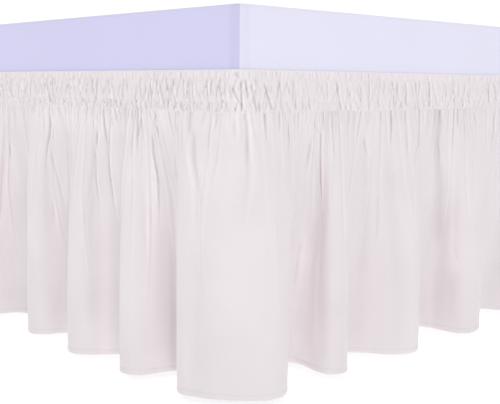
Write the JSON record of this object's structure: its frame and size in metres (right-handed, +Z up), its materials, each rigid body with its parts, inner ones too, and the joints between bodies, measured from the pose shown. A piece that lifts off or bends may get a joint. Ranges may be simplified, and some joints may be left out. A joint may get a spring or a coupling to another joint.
{
  "type": "bed skirt on a box spring",
  "caption": "Gathered elastic bed skirt hanging in uneven folds to the floor round a plain lavender box spring on short legs.",
  "frame": {"origin": "on the floor under the middle of the bed", "axes": "+X across the bed, +Y from the foot to the head, +Z up; the foot corner at +X and -Y is the one the picture shows"},
  "size_m": [1.093, 2.041, 0.464],
  "materials": {
    "skirt_cloth": "brushed microfibre sheeting, warm white, matte",
    "heading_cloth": "the same sheeting, shirred over wide elastic",
    "ticking": "plain smooth lavender cover, matte",
    "leg_wood": "plain turned beech, satin"
  },
  "bodies": {
    "root": {"skirt_width_1": "skirt_cloth", "skirt_width_2": "skirt_cloth", "skirt_width_3": "skirt_cloth", "skirt_width_4": "skirt_cloth", "elastic_heading": "heading_cloth", "box_spring": "ticking", "leg_1": "leg_wood", "leg_2": "leg_wood", "leg_3": "leg_wood", "leg_4": "leg_wood", "leg_5": "leg_wood", "leg_6": "leg_wood"}
  },
  "joints": []
}
